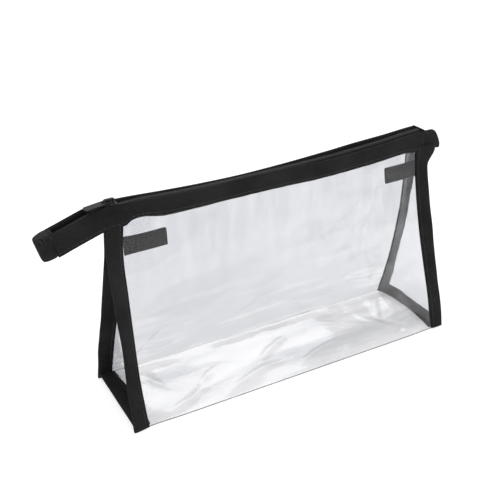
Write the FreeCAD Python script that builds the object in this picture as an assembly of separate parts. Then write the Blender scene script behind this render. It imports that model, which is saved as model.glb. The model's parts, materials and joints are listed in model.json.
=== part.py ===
"""Clear zip-top makeup bag with black nylon bindings.

Frame: millimetres, +Z up, +X along the zip to the right, -Y the front.  The origin is the
middle of the base, on the surface that the bag stands on.  The walls lean in to a skewed zip,
so most pieces are ruled between two flat outlines.
"""
import FreeCAD, Part
import math
import os

V = FreeCAD.Vector

# ---- driving dimensions of the bag -------------------------------------------------------
SEAM_SPAN = 220.0        # side seam to side seam, along X
BASE_DEPTH = 62.0        # front crease to rear crease, along Y
BAG_HEIGHT = 141.0       # top edge of both hems
FIN_WIDTH = 10.0         # bound seam allowance that stands out past each side seam
MOUTH_WIDTH = 190.0      # length of wall that swings when the mouth opens

# ---- sheet goods -------------------------------------------------------------------------
FILM = 0.3               # clear vinyl
TAPE = 0.5               # nylon binding
ZIP_TAPE = 0.4           # woven tape of the zip
BASE_RISE = 2.0          # how far the outer edge of a base fin turns up
BASE_JOGGLE = 6.0        # length over which the base film steps up on to its binding
GUSSET_DISH = 3.0        # how far each end panel is pushed in
CORNER_INSET = 2.5       # base fins stop this far inside the front and rear creases

# ---- zip line ----------------------------------------------------------------------------
ZIP_OFFSET = 3.2         # zip centre line, toward the back, at the middle of the bag
ZIP_SLOPE = 0.076        # it also runs toward the back by this much per unit of X
HEM_PLAY = 0.75          # slider to hem on each side, at the middle of the bag
GROOVE_SLOPE = 0.0064    # the gap between the hems widens to the right by this per unit of X
HEM_HEIGHT = 12.5        # outside leg of a hem
ZIP_TAPE_HEIGHT = 16.5   # zip tape, from the top edge down inside the film
TAPE_TRIM = 0.2          # past the mouth it is trimmed to end this far above the hem's edge
SHELF_DROP = 3.0         # top of the level part of the zip tape, below the top edge
COIL_WIDTH = 1.3         # half a chain
COIL_HEIGHT = 1.6
COIL_CORNER = 0.4        # chamfer along the top of each half
COIL_PARTING = 0.6       # each half stands off the centre line by this, for the slider's wedge

# ---- slider and pull ---------------------------------------------------------------------
SLIDER_LENGTH = 9.0
SLIDER_PLATE = 0.7
SLIDER_WALL = 0.6
SLIDER_PLAY = 0.3        # running clearance all round chain and tape
SLIDER_PARK = 6.0        # parked centre, outside the left seam
SLIDER_CORNER = 1.2      # rounding of its upright corners
SLIDER_RIM = 0.3         # rounding of its rims, top and bottom
WEDGE_LENGTH = 2.4
BRIDGE_LENGTH = 6.4
BRIDGE_WIDTH = 1.8
BRIDGE_POST = 1.1
BRIDGE_OPENING = 2.3
BRIDGE_BAR = 0.7
BRIDGE_ROUND = 1.0
PULL_LENGTH = 15.0
PULL_WIDTH = 5.2
PULL_THICKNESS = 1.0
PULL_ROUND = 1.56        # rounding of the blade's free corners
PULL_ARM = 4.4           # slotted end of the pull, beside the bridge
PULL_EYE_HEIGHT = 1.3    # pull axis above the top of the slider
PULL_DROOP = 6.0         # degrees below level at rest
PULL_PLAY = 0.3

# ---- ends of the zip ---------------------------------------------------------------------
TAIL_START = 13.0        # hinge line of the tail, outside the left seam
TAIL_LENGTH = 43.0       # from that line to the end of the cap
TAIL_DROOP = 16.0        # degrees below level at rest
TAIL_RELIEF = 37.0       # degrees of wedge that lets the tail bend down
TAIL_PINCH = 0.9         # each side draws in by this at the cap
TAIL_GAP = 0.4
CAP_LENGTH = 10.5
CAP_WALL = 0.6
CAP_LAP = 3.0            # cap over the ends of the tapes
CAP_PLAY = 0.1
RIGHT_REACH = 3.2        # end of the right-hand zip tapes, past the right fins
RIGHT_CAP_LENGTH = 12.5
RIGHT_CAP_DROP = 11.0    # how far its top slopes down to the tip

# ---- grip loops --------------------------------------------------------------------------
LOOP_LENGTH = 26.0
LOOP_HEIGHT = 11.0
LOOP_DROP = 4.0          # top of a loop, below the foot of the zip tape
WEBBING = 0.7
LOOP_FOLD = 0.5          # air inside the folded webbing
LOOP_STANDOFF = 0.8      # off the film
LOOP_ROOT = 2.2          # root of the loop, inside the side seam

BODY_GAP = 0.3           # between pieces that move against each other

FRONT, REAR = -1, 1
LEFT, RIGHT = -1, 1
SEAM = SEAM_SPAN / 2
HALF_DEPTH = BASE_DEPTH / 2
MOUTH = MOUTH_WIDTH / 2
SHELF_TOP = BAG_HEIGHT - SHELF_DROP
COIL_TOP = SHELF_TOP + COIL_HEIGHT
SLIDER_TOP = COIL_TOP + SLIDER_PLAY + SLIDER_PLATE
SLIDER_HALF = COIL_PARTING + COIL_WIDTH + SLIDER_PLAY + SLIDER_WALL
GROOVE = 2 * (SLIDER_HALF + HEM_PLAY)
TAPE_FOOT = BAG_HEIGHT - ZIP_TAPE_HEIGHT
LOOP_TOP = TAPE_FOOT - LOOP_DROP
FILM_TOP = BAG_HEIGHT - TAPE
FIN_FILM = FIN_WIDTH - TAPE
CREASE_Z = FILM + BODY_GAP
HEM_FOOT = BAG_HEIGHT - HEM_HEIGHT
TAIL_X = -(SEAM + TAIL_START)
PARK_X = -(SEAM + SLIDER_PARK)
RIGHT_END_X = SEAM + FIN_WIDTH + RIGHT_REACH
SIDES = {"front": FRONT, "rear": REAR}
ENDS = {"left": LEFT, "right": RIGHT}


# ---- shape helpers -----------------------------------------------------------------------
def outline(points):
    return Part.makePolygon(points + [points[0]])


def ruled(first, last):
    """Closed solid between two outlines with the same number of points."""
    return Part.makeLoft([outline(first), outline(last)], True, True)


def along_x(profile, x_from, x_to):
    """Solid whose cross-section at each X is profile(x), a list of (y, z)."""
    ends = [[V(x, y, z) for y, z in profile(x)] for x in sorted((x_from, x_to))]
    return ruled(*ends)


def up_z(plan, z_from, z_to):
    """Solid whose plan at each Z is plan(z), a list of (x, y)."""
    ends = [[V(x, y, z) for x, y in plan(z)] for z in (z_from, z_to)]
    return ruled(*ends)


def plate_along_y(points, y_from, y_to):
    """Flat outline of (x, z) points, extruded along Y."""
    face = Part.Face(outline([V(x, y_from, z) for x, z in points]))
    return face.extrude(V(0, y_to - y_from, 0))


def block(x, y, z):
    """Box from three (low, high) pairs."""
    return Part.makeBox(x[1] - x[0], y[1] - y[0], z[1] - z[0], V(x[0], y[0], z[0]))


def joined(shapes):
    return shapes[0].multiFuse(shapes[1:]).removeSplitter()


def rounded(box, radius, axis):
    """Round the edges of a box that run along one axis, "X", "Y" or "Z"."""
    chosen = [edge for edge in box.Edges if getattr(edge.BoundBox, axis + "Length") > radius]
    return box.makeFillet(radius, chosen)


# ---- surfaces that everything else follows -----------------------------------------------
def zip_y(x):
    return ZIP_OFFSET + ZIP_SLOPE * x


def groove(x):
    return GROOVE + GROOVE_SLOPE * x


def wall_y(side, x, z):
    """Outer face of the wall film: straight from its base crease to its hem."""
    wrap = groove(x) / 2 + TAPE + ZIP_TAPE + FILM
    top = zip_y(x) + side * wrap
    return side * HALF_DEPTH + (top - side * HALF_DEPTH) * z / BAG_HEIGHT


def inward(side, x, z, depth):
    """Point of the wall at (x, z), moved toward the inside of the bag by depth."""
    return wall_y(side, x, z) - side * depth


# ---- clear film --------------------------------------------------------------------------
def wall_film(side, x_from, x_to, z_from, z_to):
    def plan(z):
        outer = [(x, wall_y(side, x, z)) for x in (x_from, x_to)]
        inner = [(x, inward(side, x, z, FILM)) for x in (x_to, x_from)]
        return outer + inner
    return up_z(plan, z_from, z_to)


def base_fin_z(x):
    """Underside of the base film across a base fin."""
    return TAPE + BASE_RISE * (abs(x) - SEAM) / FIN_WIDTH


def base_sheet():
    """Base and the four side margins of the walls: one folded sheet."""
    step = SEAM - BASE_JOGGLE
    middle = [(-SEAM, TAPE), (-step, 0), (step, 0), (SEAM, TAPE)]
    raised = [(x, z + FILM) for x, z in reversed(middle)]
    pieces = [plate_along_y(middle + raised, -HALF_DEPTH, HALF_DEPTH)]
    reach = HALF_DEPTH - CORNER_INSET
    for end in ENDS.values():
        fin = [(end * x, base_fin_z(x)) for x in (SEAM - FILM, SEAM + FIN_FILM)]
        fin += [(x, z + FILM) for x, z in reversed(fin)]
        pieces.append(plate_along_y(fin, -reach, reach))
        for side in SIDES.values():
            inner_edge, outer_edge = end * (MOUTH + BODY_GAP), end * (SEAM + FIN_FILM)
            pieces.append(wall_film(side, inner_edge, outer_edge, TAPE, FILM_TOP))
    return joined(pieces)


def gusset(end):
    """Triangular end panel, pushed in along its middle, with its three seam allowances."""
    floor = TAPE + FILM
    roof = HEM_FOOT

    def panel(z):
        front = inward(FRONT, end * SEAM, z, FILM)
        rear = inward(REAR, end * SEAM, z, FILM)
        middle = (front + rear) / 2
        outer = [(end * SEAM, front), (end * (SEAM - GUSSET_DISH), middle), (end * SEAM, rear)]
        return outer + [(x - end * FILM, y) for x, y in reversed(outer)]

    def margin(side):
        def plan(z):
            edge = [end * (SEAM - FILM), end * (SEAM + FIN_FILM)]
            outer = [(x, inward(side, x, z, FILM)) for x in edge]
            return outer + [(x, inward(side, x, z, 2 * FILM)) for x in reversed(edge)]
        return up_z(plan, floor, roof)

    reach = HALF_DEPTH - CORNER_INSET
    foot = [(end * x, base_fin_z(x) + FILM) for x in (SEAM - FILM, SEAM + FIN_FILM)]
    foot += [(x, z + FILM) for x, z in reversed(foot)]
    pieces = [up_z(panel, floor, roof), margin(FRONT), margin(REAR)]
    pieces.append(plate_along_y(foot, -reach, reach))
    return joined(pieces)


# ---- bindings ----------------------------------------------------------------------------
def side_binding(side, end):
    """Tape folded round the front or rear allowance of a side seam."""
    inner_edge, fold = end * SEAM, end * (SEAM + FIN_WIDTH)
    film_edge = end * (SEAM + FIN_FILM)
    stack = 2 * FILM

    def plan(z):
        outside = [(inner_edge, -TAPE), (fold, -TAPE), (fold, stack + TAPE), (inner_edge, stack + TAPE)]
        inside = [(inner_edge, stack), (film_edge, stack), (film_edge, 0), (inner_edge, 0)]
        return [(x, inward(side, x, z, depth)) for x, depth in outside + inside]
    return up_z(plan, 0, HEM_FOOT)


def base_binding(end):
    """Tape folded round the allowance along an end of the base."""
    reach = HALF_DEPTH - CORNER_INSET
    rise = BASE_RISE / FIN_WIDTH
    stack = TAPE + 2 * FILM

    def at(x, height):
        return (end * x, height + rise * (x - SEAM))
    fold, film_edge = SEAM + FIN_WIDTH, SEAM + FIN_FILM
    outside = [at(SEAM, 0), at(fold, 0), at(fold, stack + TAPE), at(SEAM, stack + TAPE)]
    inside = [at(SEAM, stack), at(film_edge, stack), at(film_edge, TAPE), at(SEAM, TAPE)]
    return plate_along_y(outside + inside, -reach, reach)


# ---- hems, zip tapes and chain -----------------------------------------------------------
def pinch(x):
    """How far each side draws in along the tail."""
    run = TAIL_LENGTH - CAP_LENGTH
    return TAIL_PINCH * min(1.0, max(0.0, (TAIL_X - x) / run))


def hem_profile(side):
    """Binding over the top edge: a long outside leg, and a short one down to the shelf."""
    wrap = FILM + ZIP_TAPE

    def profile(x):
        points = [(-TAPE, HEM_FOOT), (-TAPE, BAG_HEIGHT), (wrap + TAPE, BAG_HEIGHT),
                  (wrap + TAPE, SHELF_TOP), (wrap, SHELF_TOP), (wrap, FILM_TOP),
                  (0, FILM_TOP), (0, HEM_FOOT)]
        return [(inward(side, x, z, depth) - side * pinch(x), z) for depth, z in points]
    return profile


def tape_profile(side):
    """Zip tape: down inside the film, trimmed short past the mouth, and level to the chain."""
    wrap = FILM + ZIP_TAPE

    def profile(x):
        edge = zip_y(x) + side * COIL_PARTING
        foot = TAPE_FOOT if abs(x) <= MOUTH else HEM_FOOT + TAPE_TRIM
        leg = [(inward(side, x, foot, FILM), foot), (inward(side, x, FILM_TOP, FILM), FILM_TOP),
               (inward(side, x, FILM_TOP, wrap), FILM_TOP), (inward(side, x, SHELF_TOP, wrap), SHELF_TOP)]
        under = SHELF_TOP - ZIP_TAPE
        back = [(inward(side, x, under, wrap), under), (inward(side, x, foot, wrap), foot)]
        drawn = [(y - side * pinch(x), z) for y, z in leg]
        drawn_back = [(y - side * pinch(x), z) for y, z in back]
        return drawn + [(edge, SHELF_TOP), (edge, under)] + drawn_back
    return profile


def coil_profile(side):
    """Half a chain, six-sided, on the inner edge of its tape."""
    near, far = COIL_PARTING, COIL_PARTING + COIL_WIDTH
    edge = COIL_TOP - COIL_CORNER

    def profile(x):
        points = [(near, SHELF_TOP), (near, edge), (near + COIL_CORNER, COIL_TOP),
                  (far - COIL_CORNER, COIL_TOP), (far, edge), (far, SHELF_TOP)]
        return [(zip_y(x) + side * offset, z) for offset, z in points]
    return profile


PROFILES = {"hem": hem_profile, "zip_tape": tape_profile, "coil": coil_profile}


def both_sides(kind, x_from, x_to):
    return [along_x(PROFILES[kind](side), x_from, x_to) for side in SIDES.values()]


# ---- tail and end caps -------------------------------------------------------------------
def drooped(shape):
    """Turn a piece of the tail down about its hinge line."""
    turned = shape.copy()
    turned.rotate(V(TAIL_X, zip_y(TAIL_X), BAG_HEIGHT), V(0, 1, 0), -TAIL_DROOP)
    return turned


def relief():
    """Wedge cut from the start of the tail so that it can bend down."""
    depth = 2 * BAG_HEIGHT
    lean = math.tan(math.radians(TAIL_RELIEF))
    start = TAIL_X - TAIL_GAP
    foot = start - BAG_HEIGHT * lean
    points = [(0, 2 * BAG_HEIGHT), (start, 2 * BAG_HEIGHT), (start, BAG_HEIGHT), (foot, 0), (0, 0)]
    return plate_along_y(points, -depth, depth)


def tail_pieces(kind):
    inner_end = TAIL_X - TAIL_LENGTH + CAP_LENGTH - CAP_LAP
    wedge = relief()
    return [drooped(solid).cut(wedge) for solid in both_sides(kind, inner_end, TAIL_X)]


def envelope(x, extra, low, high):
    """Four-sided outline round both hems at x, larger all round by extra."""
    points = []
    for side, z in ((FRONT, low), (FRONT, high), (REAR, high), (REAR, low)):
        y = inward(side, x, z, -TAPE - extra) - side * pinch(x)
        points.append(V(x, y, z))
    return points


def left_cap():
    """Tape folded over the end of the tail."""
    tip = TAIL_X - TAIL_LENGTH
    mouth = tip + CAP_LENGTH
    floor, roof = HEM_FOOT, BAG_HEIGHT
    thick = CAP_PLAY + CAP_WALL
    outer = ruled(envelope(tip, thick, floor - thick, roof + thick),
                  envelope(mouth, thick, floor - thick, roof + thick))
    pocket = ruled(envelope(mouth - CAP_LAP - CAP_PLAY, CAP_PLAY, floor - CAP_PLAY, roof + CAP_PLAY),
                   envelope(mouth + CAP_LAP, CAP_PLAY, floor - CAP_PLAY, roof + CAP_PLAY))
    return drooped(outer.cut(pocket))


def right_cap():
    """Tape folded over the right-hand end, sloping down to its tip along the front hem."""
    mouth = RIGHT_END_X - CAP_LAP
    tip = mouth + RIGHT_CAP_LENGTH
    floor, roof = HEM_FOOT, BAG_HEIGHT
    thick = CAP_PLAY + CAP_WALL
    front_low = inward(FRONT, tip, floor, -thick)
    front_high = inward(FRONT, tip, roof - RIGHT_CAP_DROP, -thick)
    shut = 2 * (TAPE + FILM + ZIP_TAPE)
    nose = [V(tip, front_low, floor), V(tip, front_high, roof - RIGHT_CAP_DROP),
            V(tip, front_high + shut, roof - RIGHT_CAP_DROP), V(tip, front_low + shut, floor)]
    outer = ruled(envelope(mouth, thick, floor - thick, roof + thick), nose)
    inside = [mouth - CAP_LAP, RIGHT_END_X + CAP_PLAY]
    pocket = ruled(*[envelope(x, CAP_PLAY, floor - CAP_PLAY, roof + CAP_PLAY) for x in inside])
    return outer.cut(pocket)


# ---- slider and pull ---------------------------------------------------------------------
def on_zip(shape):
    """Place a piece, made about the Z axis, on the zip line at the parking place."""
    placed = shape.copy()
    placed.rotate(V(0, 0, 0), V(0, 0, 1), math.degrees(math.atan(ZIP_SLOPE)))
    placed.translate(V(PARK_X, zip_y(PARK_X), 0))
    return placed


def slider_body():
    """Two plates on a wedge, with side walls that hold the chain."""
    half = SLIDER_LENGTH / 2
    length, width = (-half, half), (-SLIDER_HALF, SLIDER_HALF)
    under = SHELF_TOP - ZIP_TAPE - SLIDER_PLAY
    ceiling = COIL_TOP + SLIDER_PLAY
    pieces = [block(length, width, (under - SLIDER_PLATE, under)),
              block(length, width, (ceiling, SLIDER_TOP))]
    for side in SIDES.values():
        wall = sorted((side * SLIDER_HALF, side * (SLIDER_HALF - SLIDER_WALL)))
        pieces.append(block(length, wall, (SHELF_TOP + SLIDER_PLAY, ceiling)))
    wedge = COIL_PARTING - SLIDER_PLAY
    pieces.append(block((-half, WEDGE_LENGTH - half), (-wedge, wedge), (under, ceiling)))
    hull = rounded(block(length, width, (under - SLIDER_PLATE, SLIDER_TOP)), SLIDER_CORNER, "Z")
    rims = [edge for edge in hull.Edges if edge.BoundBox.ZLength < SLIDER_RIM]
    return on_zip(joined(pieces).common(hull.makeFillet(SLIDER_RIM, rims)))


def slider_bridge():
    """Arch on the slider that the pull hangs on."""
    half, width = BRIDGE_LENGTH / 2, (-BRIDGE_WIDTH / 2, BRIDGE_WIDTH / 2)
    bar = SLIDER_TOP + BRIDGE_OPENING
    arch = block((-half, half), width, (SLIDER_TOP, bar + BRIDGE_BAR))
    crown = [edge for edge in arch.Edges if edge.BoundBox.YLength > BRIDGE_BAR and edge.BoundBox.ZMin > bar]
    opening = block((BRIDGE_POST - half, half - BRIDGE_POST), width, (SLIDER_TOP, bar))
    return on_zip(arch.makeFillet(BRIDGE_ROUND, crown).cut(opening))


def pull_tab():
    """Flat pull: an eye under the bridge, two arms beside it, and a rounded blade."""
    eye_z = SLIDER_TOP + PULL_EYE_HEIGHT
    half, thick = PULL_WIDTH / 2, PULL_THICKNESS / 2
    slot = BRIDGE_WIDTH / 2 + PULL_PLAY
    blade = block((-PULL_LENGTH, thick), (-half, half), (eye_z - thick, eye_z + thick))
    slot_x = (-PULL_ARM, -thick)
    blade = blade.cut(block(slot_x, (-slot, slot), (eye_z - thick, eye_z + thick)))
    upright = [edge for edge in blade.Edges if edge.BoundBox.ZLength > thick]
    corners = [edge for edge in upright if edge.BoundBox.XMax < -PULL_ARM - thick]
    blade = blade.makeFillet(PULL_ROUND, corners)
    blade.rotate(V(0, 0, eye_z), V(0, 1, 0), -PULL_DROOP)
    return on_zip(blade)


# ---- grip loops --------------------------------------------------------------------------
def grip_loop(end):
    """Webbing folded double, sewn in at the side seam, lying along the front wall."""
    root = end * (SEAM - LOOP_ROOT)
    tip = root - end * LOOP_LENGTH
    inner_tip = tip + end * WEBBING
    thick = 2 * WEBBING + LOOP_FOLD

    def plan(z):
        outside = [(root, 0), (tip, 0), (tip, thick), (root, thick)]
        inside = [(root, WEBBING + LOOP_FOLD), (inner_tip, WEBBING + LOOP_FOLD),
                  (inner_tip, WEBBING), (root, WEBBING)]
        return [(x, inward(FRONT, x, z, FILM + LOOP_STANDOFF + depth)) for x, depth in outside + inside]
    return up_z(plan, LOOP_TOP - LOOP_HEIGHT, LOOP_TOP)


# ---- assembly ----------------------------------------------------------------------------
def build():
    nodes = {"base_sheet": base_sheet()}
    for end_name, end in ENDS.items():
        nodes[f"{end_name}_gusset"] = gusset(end)
        nodes[f"{end_name}_base_binding"] = base_binding(end)
        nodes[f"{end_name}_grip_loop"] = grip_loop(end)
        for side_name, side in SIDES.items():
            nodes[f"{side_name}_{end_name}_binding"] = side_binding(side, end)
    ends = {"left": (TAIL_X, -MOUTH - BODY_GAP), "right": (MOUTH + BODY_GAP, RIGHT_END_X)}
    for side_name, side in SIDES.items():
        nodes[f"{side_name}_window"] = wall_film(side, -MOUTH, MOUTH, CREASE_Z, FILM_TOP)
        for kind, profile in PROFILES.items():
            nodes[f"{side_name}_{kind}"] = along_x(profile(side), -MOUTH, MOUTH)
    for kind in PROFILES:
        for end_name, span in ends.items():
            nodes[f"{end_name}_{kind}_ends"] = Part.makeCompound(both_sides(kind, *span))
        nodes[f"tail_{kind}"] = Part.makeCompound(tail_pieces(kind))
    nodes["tail_cap"] = left_cap()
    nodes["right_cap"] = right_cap()
    nodes["slider_body"] = slider_body()
    nodes["slider_bridge"] = slider_bridge()
    nodes["pull_tab"] = pull_tab()
    return nodes


os.makedirs("parts", exist_ok=True)
for name, shape in build().items():
    shape.exportStep(f"parts/{name}.step")
    print(f"{name:24s} solids {len(shape.Solids)} valid {shape.isValid()} volume {shape.Volume:.1f}")
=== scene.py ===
"""Clear zip-top makeup bag: the visual model, built round the packed frame.

Sizes are in metres, or in millimetres in the tables that say so, in the frame's own axes: +X
along the zip to the short end, -Y out of the front wall, +Z up.  Walls, hems, zip tapes and chain
are made in lengths that meet at the side seams and at the middle, so that the mouth opens like an
eye between fixed seams.
"""
import functools
import json
import math

import bmesh
import bpy
from bpy.props import FloatProperty, FloatVectorProperty, PointerProperty
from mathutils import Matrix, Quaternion, Vector, noise


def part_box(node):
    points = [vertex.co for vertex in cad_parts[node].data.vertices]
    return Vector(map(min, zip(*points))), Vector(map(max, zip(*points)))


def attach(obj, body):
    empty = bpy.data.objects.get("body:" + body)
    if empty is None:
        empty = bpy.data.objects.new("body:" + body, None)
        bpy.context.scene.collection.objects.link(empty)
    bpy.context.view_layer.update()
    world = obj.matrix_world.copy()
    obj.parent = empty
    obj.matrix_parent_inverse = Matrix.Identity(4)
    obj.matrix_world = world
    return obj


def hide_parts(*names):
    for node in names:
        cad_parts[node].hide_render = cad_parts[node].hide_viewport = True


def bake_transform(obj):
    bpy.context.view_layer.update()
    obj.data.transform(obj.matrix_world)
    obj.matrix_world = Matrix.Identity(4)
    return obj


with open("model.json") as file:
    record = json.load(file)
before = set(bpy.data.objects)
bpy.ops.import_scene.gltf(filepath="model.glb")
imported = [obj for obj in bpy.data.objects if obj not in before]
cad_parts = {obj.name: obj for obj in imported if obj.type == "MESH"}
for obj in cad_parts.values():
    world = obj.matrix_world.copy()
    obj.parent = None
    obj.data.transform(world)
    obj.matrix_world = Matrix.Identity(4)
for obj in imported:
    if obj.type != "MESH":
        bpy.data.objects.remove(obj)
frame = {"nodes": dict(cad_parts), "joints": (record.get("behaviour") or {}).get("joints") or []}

bl_info = {
    "name": "Clear makeup bag",
    "version": (1, 0, 0),
    "blender": (4, 5, 0),
    "location": "3D View > Sidebar > Bag",
    "description": "Clear vinyl makeup bag with woven bindings and a coil zip",
    "category": "Object",
}

MM = 0.001
FRONT, REAR = -1, 1
LEFT, RIGHT = -1, 1
SIDES = {"front": FRONT, "rear": REAR}
ENDS = {"left": LEFT, "right": RIGHT}
SMOOTH_NOISE = Vector((0.37, 0.11, 0.53))


# ---- places read from the frame ----------------------------------------------------------
def joint(name):
    return next(j for j in frame["joints"] if j["name"] == name)


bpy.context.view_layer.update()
RUN_AXIS = Vector(joint("slider_run")["axis"])
PARK = Vector(joint("pull_flip")["pos_m"])
TAIL_HINGE = Vector(joint("tail_bend")["pos_m"])
ZIP_SLOPE = RUN_AXIS.y / RUN_AXIS.x
HEM_LOW, HEM_HIGH = (corner.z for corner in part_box("front_hem"))
TAPE_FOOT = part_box("front_zip_tape")[0].z
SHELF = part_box("front_coil")[0].z
COIL_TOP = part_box("front_coil")[1].z
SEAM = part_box("right_base_binding")[0].x
FIN_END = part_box("right_base_binding")[1].x
HALF_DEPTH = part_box("base_sheet")[1].y
TAIL_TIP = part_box("tail_cap")[0].x
RIGHT_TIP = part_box("right_cap")[1].x
LOOP_BOX = {name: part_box(f"{name}_grip_loop") for name in ENDS}


# ---- what a user would change ------------------------------------------------------------
def length_property(name, description, default):
    return FloatProperty(name=name, description=description, default=default, unit="LENGTH")


def colour_property(name, description, default):
    return FloatVectorProperty(name=name, description=description, default=(*default, 1), size=4,
                               subtype="COLOR")


class BagSizes(bpy.types.PropertyGroup):
    """Sizes of the sheet goods and of how they hang."""

    film: length_property("Film", "Thickness of the vinyl", 0.3 * MM)
    tape: length_property("Binding", "Thickness of the binding tape", 0.5 * MM)
    zip_tape: length_property("Zip tape", "Thickness of the zip tape", 0.4 * MM)
    groove: length_property("Groove", "Gap between the hems", 7.1 * MM)
    groove_slope: FloatProperty(name="Groove slope", description="Widening to the right", default=0.0064)
    groove_pinch: length_property("Groove pinch", "How much the hems close at the middle", 0.3 * MM)
    fin: length_property("Fin", "Width of the bound side seams", FIN_END - SEAM)
    head_left: length_property("Left head", "How much the front left fin widens at its top", 1.0 * MM)
    head_right: length_property("Right head", "How much the front right fin widens at its top", 7.0 * MM)
    dish: length_property("Gusset dish", "How far the ends are pushed in", 5.0 * MM)
    arch: length_property("Base arch", "Rise of the base at its end seams", 4.0 * MM)
    wrinkle: FloatProperty(name="Wrinkles", description="Strength of the film's wrinkles", default=1.0)
    droop: FloatProperty(name="Tail droop", description="Angle of the tail", default=math.radians(16),
                         subtype="ANGLE")
    stitch: length_property("Stitch", "Length of a stitch", 2.6 * MM)
    coil_pitch: length_property("Coil pitch", "Spacing of the coil's turns", 1.25 * MM)
    cell: length_property("Cell", "Mesh spacing of the film", 1.5 * MM)


class BagColours(bpy.types.PropertyGroup):
    """Colours of the materials."""

    film: colour_property("Film", "Vinyl where it lies flat and clean", (0.99, 0.99, 0.995))
    # grey mixed into the vinyl's tint: a little real haziness, mostly painted shade and painted reflections
    haze: colour_property("Haze", "Vinyl where it is hazy", (0.72, 0.725, 0.745))
    fabric: colour_property("Fabric", "Black nylon", (0.002, 0.002, 0.0023))
    fabric_light: colour_property("Fabric highlight", "Crowns of the threads", (0.019, 0.019, 0.020))
    webbing: colour_property("Webbing", "Grip loops", (0.005, 0.005, 0.006))
    enamel: colour_property("Enamel", "Slider and pull", (0.010, 0.010, 0.011))
    floor: colour_property("Floor", "Studio floor", (0.46, 0.46, 0.463))


def sizes():
    return bpy.context.scene.bag_sizes


def colours():
    return bpy.context.scene.bag_colours


# ---- the shape that every piece follows --------------------------------------------------
SEAM_BOW = {  # how far each side seam bows into the bag, and how high the bow sits
    (FRONT, LEFT): (4.0 * MM, 1.0),
    (FRONT, RIGHT): (3.0 * MM, 1.2),
    (REAR, LEFT): (9.0 * MM, 1.3),
    (REAR, RIGHT): (7.0 * MM, 1.0),
}


def smooth(t):
    t = min(1.0, max(0.0, t))
    return t * t * (3 - 2 * t)


def wave(x, y, z, scale):
    """Smooth seeded noise, about -1 to 1."""
    return noise.noise(Vector((x, y, z)) / scale + SMOOTH_NOISE)


# How far the top edge of each hem hangs below a straight one, as (X, drop), in mm.
EDGE_DROP = {
    FRONT: [(-123, 0.2), (-106, 0.4), (-84, 2.0), (-60, 3.1), (-30, 3.3), (0, 4.2), (30, 5.2), (52, 5.4),
            (80, 4.3), (103, 2.4), (126, 1.6)],
    REAR: [(-170, -1.0), (-135, -0.9), (-120, 0.0), (-105, 0.6), (-80, 2.4), (-56, 3.8), (-28, 4.7),
           (4, 4.5), (20, 4.1), (42, 3.4), (60, 2.6), (88, 1.9), (112, 0.9), (126, 1.4)],
}
# Lower edge of each hem's outside leg, as (X, Z), in mm; the front one rises by the left seam.
LEG_FOOT = {
    FRONT: [(-150, 127.0), (-123, 127.9), (-112, 127.8), (-108.5, 128.0), (-106.5, 129.6), (-104, 131.0),
            (-97, 131.0), (-85, 128.8), (-60, 127.9), (-34, 127.7), (0, 126.7), (14, 125.9), (35, 125.5),
            (53, 126.0), (81, 127.0), (97, 127.6), (101, 127.4), (105, 126.8), (123, 126.0)],
    REAR: [(-123, 128.5), (-106, 128.6), (-80, 127.0), (-56, 125.6), (-28, 124.8), (4, 125.2), (42, 126.2),
           (88, 127.6), (123, 128.0)],
}
# How far each side seam lies outside its straight line, as (Z, shift), in mm.
SEAM_SHIFT = {
    (FRONT, LEFT): [(0, 0.9), (6, 1.3), (32, 2.4), (64, 2.4), (88, 2.5), (104, 2.9), (118, 2.3), (126, 1.2),
                    (141, 0.2)],
    (FRONT, RIGHT): [(0, 1.6), (22, 1.7), (44, 0.6), (69, -0.8), (92, -1.6), (111, -1.9), (122, -1.6),
                     (141, -0.2)],
    (REAR, LEFT): [(0, 1.5), (40, 1.8), (80, 1.0), (110, -0.4), (141, -0.8)],
    (REAR, RIGHT): [(0, 0.0), (141, 0.0)],
}


def curve_through(table, at):
    """Smooth curve through pairs in millimetres; at and the result are in metres."""
    spot = min(max(at / MM, table[0][0]), table[-1][0])
    k = next(i for i in range(1, len(table)) if table[i][0] >= spot)
    (x0, v0), (x1, v1) = table[k - 1], table[k]
    before, after = table[max(0, k - 2)], table[min(len(table) - 1, k + 1)]
    span = x1 - x0
    t = (spot - x0) / span
    start = (v1 - before[1]) / (x1 - before[0]) * span
    end = (after[1] - v0) / (after[0] - x0) * span
    value = v0 * (2 * t ** 3 - 3 * t * t + 1) + start * (t ** 3 - 2 * t * t + t)
    value += v1 * (3 * t * t - 2 * t ** 3) + end * (t ** 3 - t * t)
    return value * MM


def hem_top(side, x):
    return HEM_HIGH - curve_through(EDGE_DROP[side], x)


def leg_foot(side, x):
    return curve_through(LEG_FOOT[side], x)


SLACK = 1.2 * MM  # how much less the chain hangs than the hems


def shelf(x):
    """Height of the level part of the zip tape."""
    drop = (curve_through(EDGE_DROP[FRONT], x) + curve_through(EDGE_DROP[REAR], x)) / 2
    return SHELF - max(0.0, drop - SLACK)


def seam_shift(side, end, z):
    return curve_through(SEAM_SHIFT[side, end], z)


def zip_y(x):
    return PARK.y + ZIP_SLOPE * (x - PARK.x)


def groove(x):
    s = sizes()
    middle = max(0.0, 1 - (x / SEAM) ** 2)
    return s.groove + s.groove_slope * x - s.groove_pinch * middle


def wall_top(side, x):
    s = sizes()
    return zip_y(x) + side * (groove(x) / 2 + s.tape + s.zip_tape + s.film)


def seam_bow(side, x, z):
    t = min(1.0, max(0.0, z / hem_top(side, x)))
    total = 0.0
    for end in (LEFT, RIGHT):
        depth, lift = SEAM_BOW[side, end]
        near = min(1.0, max(0.0, (1 + end * x / SEAM) / 2)) ** 2
        total += depth * near * math.sin(math.pi * t ** lift)
    return -side * total


def wall_y(side, x, z):
    """Outer face of a wall without its wrinkles."""
    base = side * HALF_DEPTH
    return base + (wall_top(side, x) - base) * z / hem_top(side, x) + seam_bow(side, x, z)


def inward(side, x, z, depth):
    return wall_y(side, x, z) - side * depth


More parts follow.
